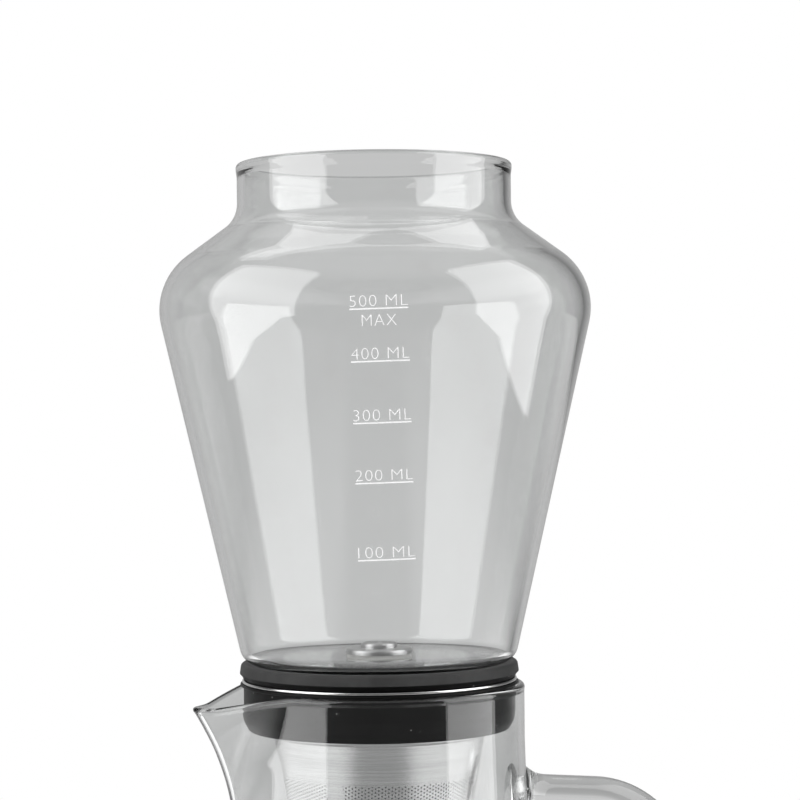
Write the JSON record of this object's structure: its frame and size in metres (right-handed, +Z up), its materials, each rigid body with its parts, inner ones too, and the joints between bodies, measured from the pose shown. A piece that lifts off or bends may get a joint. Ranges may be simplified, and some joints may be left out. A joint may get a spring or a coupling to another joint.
{
  "type": "cold drip coffee tower",
  "caption": "Glass water tank with a needle drip valve, standing on a steel cone filter that hangs in the mouth of a spouted glass carafe with a loop handle.",
  "frame": {"origin": "centre of the carafe's flat base, on the surface it stands on", "axes": "+Z up along the tower's axis, +X towards the handle, -X towards the pouring spout"},
  "size_m": [0.1392, 0.1096, 0.2724],
  "materials": {
    "clear_glass": "clear borosilicate glass, fire polished",
    "filter_steel": "satin stainless steel sheet, finely perforated",
    "valve_steel": "turned stainless steel",
    "charcoal_silicone": "charcoal silicone, satin",
    "black_silicone": "black silicone, matt with a little dust",
    "clear_silicone": "milky silicone",
    "knob_plastic": "fine matt black plastic"
  },
  "bodies": {
    "carafe": {"carafe_glass": "clear_glass", "carafe_handle": "clear_glass"},
    "filter": {"filter_cup": "filter_steel", "filter_cone": "filter_steel", "filter_floor": "filter_steel", "filter_gasket": "charcoal_silicone"},
    "spreader": {"spreader_disc": "filter_steel", "spreader_tab": "filter_steel"},
    "tank": {"tank_glass": "clear_glass", "tank_base": "black_silicone", "valve_body": "valve_steel", "valve_upper_washer": "clear_silicone", "valve_lower_washer": "clear_silicone", "valve_nut": "valve_steel", "inlet_screen": "valve_steel", "knob_clip": "valve_steel"},
    "knob": {"adjuster_knob": "knob_plastic", "knob_insert": "valve_steel"},
    "needle": {"metering_needle": "valve_steel", "needle_ring": "black_silicone", "drip_tip": "clear_silicone"}
  },
  "joints": [
    {"name": "filter_lift", "type": "slide", "parent": "carafe", "child": "filter", "axis": [0, 0, 1], "range_m": [0, 0.095]},
    {"name": "spreader_lift", "type": "slide", "parent": "filter", "child": "spreader", "axis": [0, 0, 1], "range_m": [0, 0.025]},
    {"name": "tank_lift", "type": "slide", "parent": "spreader", "child": "tank", "axis": [0, 0, 1], "range_m": [0, 0.05]},
    {"name": "knob_turn", "type": "hinge", "parent": "tank", "child": "knob", "pos_m": [0, 0, 0.138], "axis": [0, 0, 1], "range_deg": [0, 720]},
    {"name": "needle_slide", "type": "slide", "parent": "tank", "child": "needle", "axis": [0, 0, -1], "range_m": [0, 0.0014]}
  ],
  "couplings": [
    {"joint": "knob_turn", "follows": "needle_slide", "rad_per_m": 8975.9}
  ]
}
